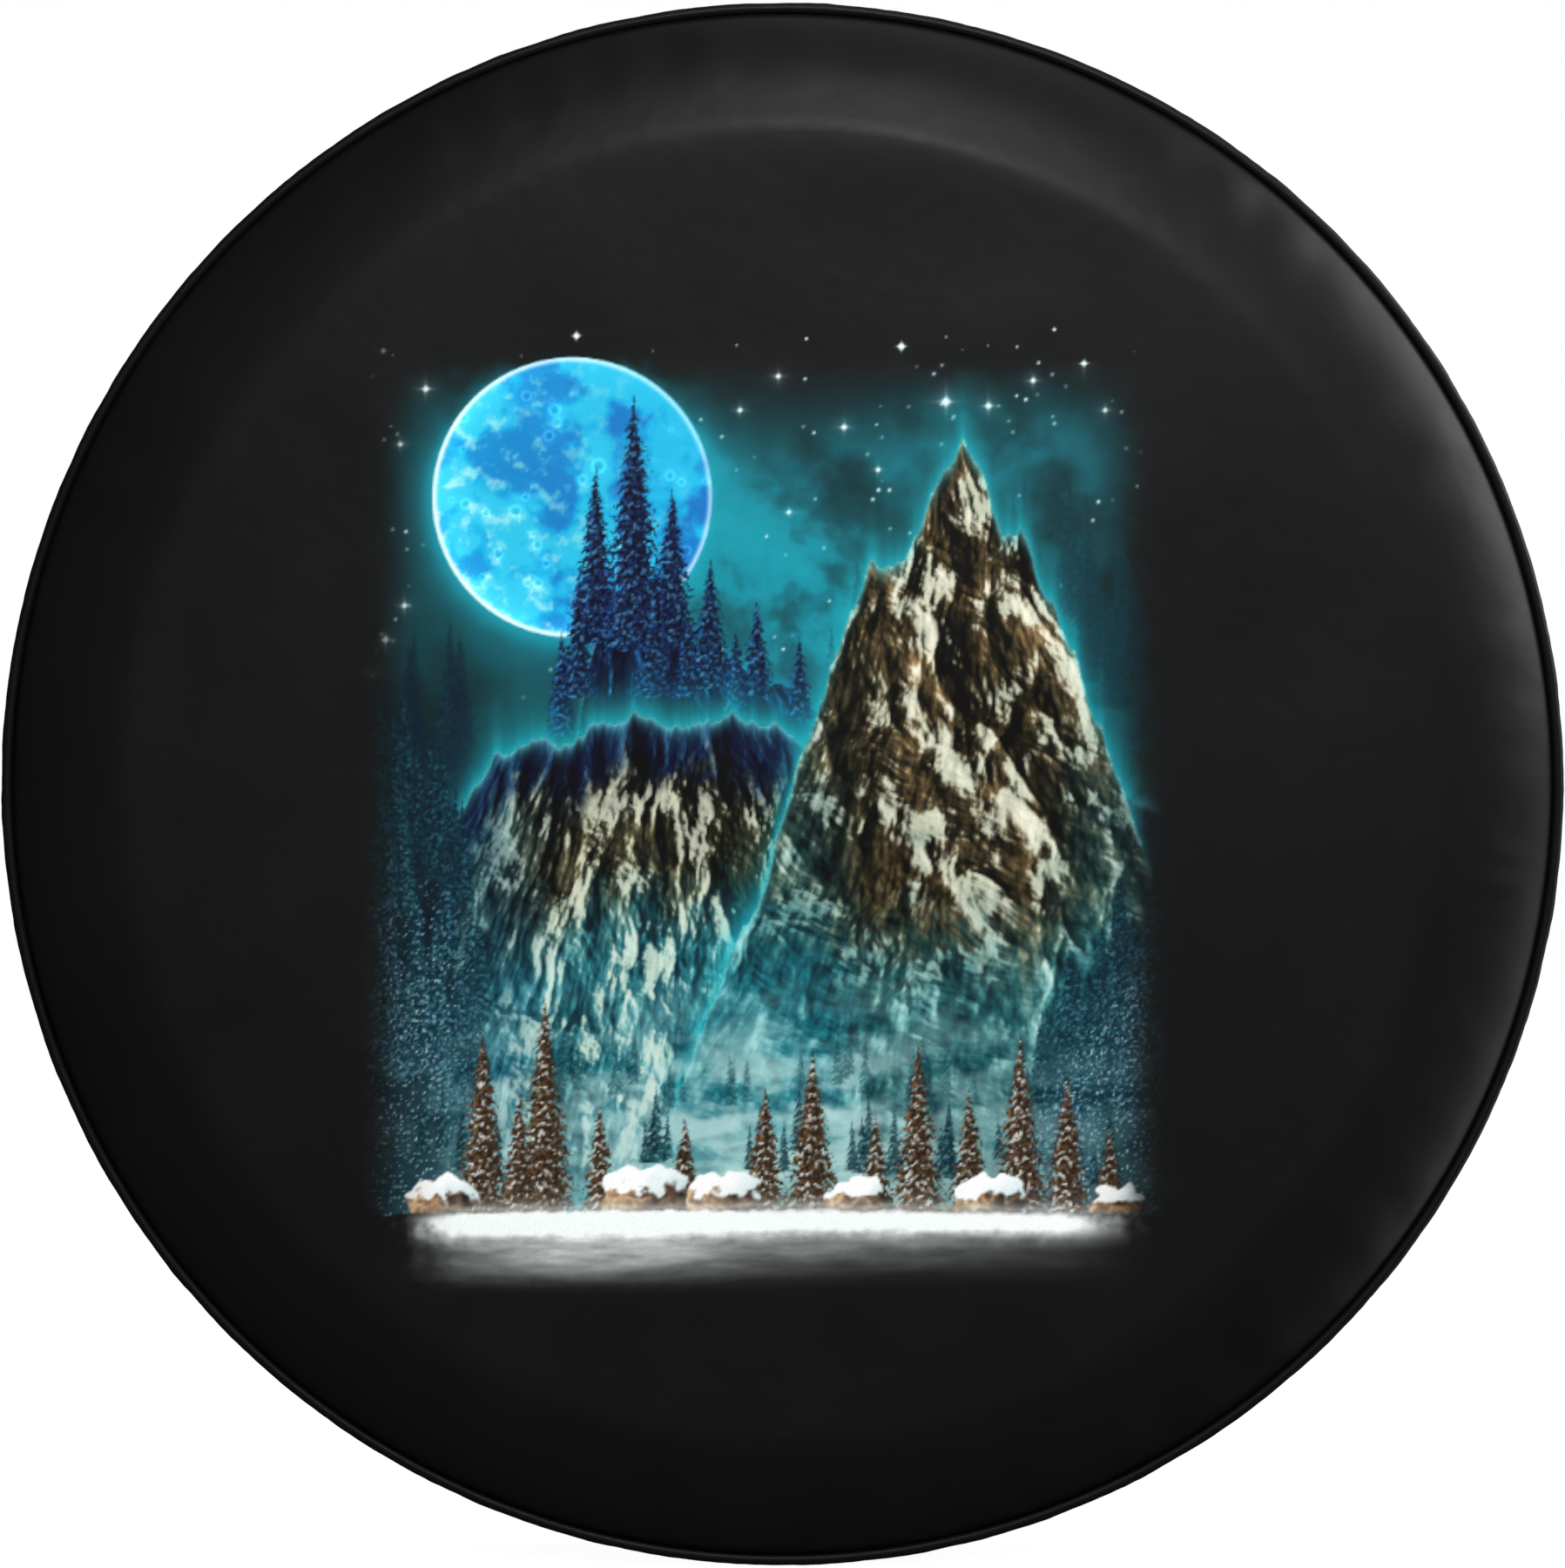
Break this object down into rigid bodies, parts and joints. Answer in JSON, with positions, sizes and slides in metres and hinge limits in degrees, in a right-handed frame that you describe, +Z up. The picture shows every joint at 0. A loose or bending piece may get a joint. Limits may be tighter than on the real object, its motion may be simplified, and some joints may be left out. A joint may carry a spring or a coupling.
{
  "type": "spare tire cover",
  "caption": "Round soft vinyl cover for an outside spare tyre, with a printed front, corded edge seam, tread band and a drawcord hem behind.",
  "frame": {"origin": "centre of the front panel's flat inner face, on the wheel's axis, where the panel lies against the tyre", "axes": "+Z up, Y along the wheel's axis: the printed face looks along -Y and the tyre goes in from +Y; +X is to the right of someone facing the print"},
  "size_m": [0.7396, 0.2627, 0.7396],
  "materials": {
    "face_vinyl": "grained black vinyl, printed",
    "band_vinyl": "grained black vinyl, satin",
    "welt_vinyl": "smooth black vinyl over cord",
    "patch_vinyl": "grained black vinyl",
    "cord_core": "twisted white cord",
    "binding_tape": "black woven binding tape",
    "elastic_cord": "black braided elastic cord",
    "lock_plastic": "black moulded plastic",
    "spring_steel": "bright wire",
    "eyelet_brass": "pressed brass"
  },
  "bodies": {
    "cover": {"face_panel": "face_vinyl", "welt_cord": "cord_core", "welt_wrap": "welt_vinyl", "tread_band_upper": "band_vinyl", "tread_band_lower": "band_vinyl", "join_tape_left": "binding_tape", "join_tape_right": "binding_tape", "hem_casing": "binding_tape", "hem_drawcord": "elastic_cord", "cord_end_cap": "lock_plastic", "security_grommet_left": "eyelet_brass", "security_grommet_right": "eyelet_brass", "security_washer_left": "eyelet_brass", "security_washer_right": "eyelet_brass", "security_patch_left": "patch_vinyl", "security_patch_right": "patch_vinyl", "drain_grommet": "eyelet_brass", "drain_washer": "eyelet_brass", "drain_patch": "patch_vinyl"},
    "cord_lock": {"cord_lock_body": "lock_plastic", "cord_lock_spring": "spring_steel"},
    "plunger": {"cord_lock_plunger": "lock_plastic"}
  },
  "joints": [
    {"name": "lock_slide", "type": "slide", "parent": "cover", "child": "cord_lock", "axis": [0, 0, 1], "range_m": [-0.036, 0]},
    {"name": "plunger_press", "type": "slide", "parent": "cord_lock", "child": "plunger", "axis": [-1, 0, 0], "range_m": [0, 0.004], "stiffness_N_per_m": 600, "springref_m": -0.01, "deforming": ["cord_lock_spring"]}
  ]
}
